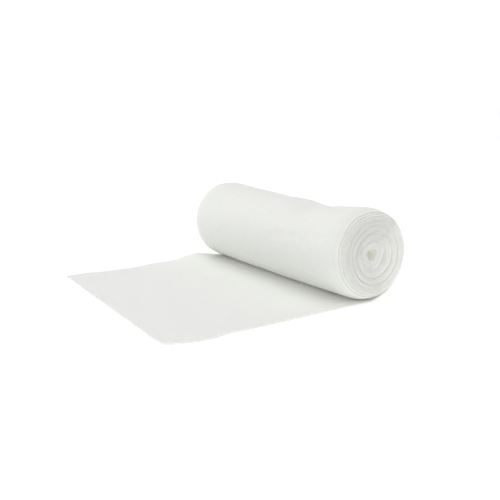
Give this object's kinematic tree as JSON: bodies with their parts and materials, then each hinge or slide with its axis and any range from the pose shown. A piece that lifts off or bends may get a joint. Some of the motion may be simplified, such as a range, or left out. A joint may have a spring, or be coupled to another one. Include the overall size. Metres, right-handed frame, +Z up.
{
  "type": "gauze bandage roll",
  "caption": "Soft off-white gauze bandage wound into a coreless roll that lies on its side, with its loose end laid out flat in front of it.",
  "frame": {"origin": "middle of the footprint, on the surface that the bandage rests on", "axes": "+Z up; Y runs along the roll's axis, with the roll's near end, where the spiral shows, at -Y; the loose end runs out from under the roll towards -X"},
  "size_m": [0.096, 0.1016, 0.0343],
  "materials": {
    "gauze": "matt bleached cotton gauze, fine open plain weave, soft and slightly sheer"
  },
  "bodies": {
    "root": {"gauze_bandage": "gauze"}
  },
  "joints": []
}
